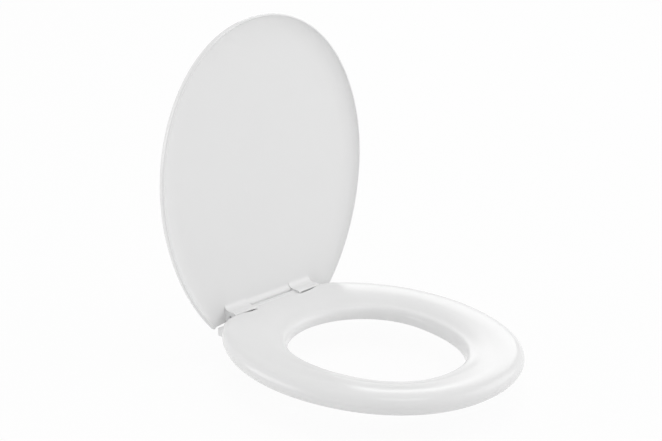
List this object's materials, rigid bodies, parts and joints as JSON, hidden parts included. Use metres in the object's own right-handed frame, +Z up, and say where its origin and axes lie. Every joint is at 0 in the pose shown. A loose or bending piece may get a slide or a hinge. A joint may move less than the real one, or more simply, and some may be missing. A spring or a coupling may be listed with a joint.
{
  "type": "toilet seat",
  "caption": "Egg-shaped moulded toilet seat with a shallow tray lid standing open, turning on pins in two hinge feet with studs and wing nuts.",
  "frame": {"origin": "midway between the two fixing studs, on the plane of the bowl's top", "axes": "+Z up, +X across the seat, the front toward -Y"},
  "size_m": [0.3694, 0.4424, 0.4665],
  "materials": {
    "seat_plastic": "glossy white moulded polypropylene",
    "fitting_plastic": "satin white moulded nylon",
    "pin_steel": "plain stainless pin",
    "soft_rubber": "soft pale rubber"
  },
  "bodies": {
    "fixing": {"hinge_foot_left": "fitting_plastic", "hinge_pin_left": "pin_steel", "foot_gasket_left": "soft_rubber", "clamp_washer_left": "fitting_plastic", "wing_nut_left": "fitting_plastic", "hinge_foot_right": "fitting_plastic", "hinge_pin_right": "pin_steel", "foot_gasket_right": "soft_rubber", "clamp_washer_right": "fitting_plastic", "wing_nut_right": "fitting_plastic"},
    "seat": {"seat_ring": "seat_plastic", "front_buffer_left": "soft_rubber", "rear_buffer_left": "soft_rubber", "front_buffer_right": "soft_rubber", "rear_buffer_right": "soft_rubber"},
    "lid": {"lid": "seat_plastic"}
  },
  "joints": [
    {"name": "seat_raise", "type": "hinge", "parent": "fixing", "child": "seat", "pos_m": [0, 0, 0.024], "axis": [-1, 0, 0], "range_deg": [0, 90]},
    {"name": "lid_close", "type": "hinge", "parent": "seat", "child": "lid", "pos_m": [0, 0, 0.024], "axis": [1, 0, 0], "range_deg": [0, 92.65]}
  ]
}
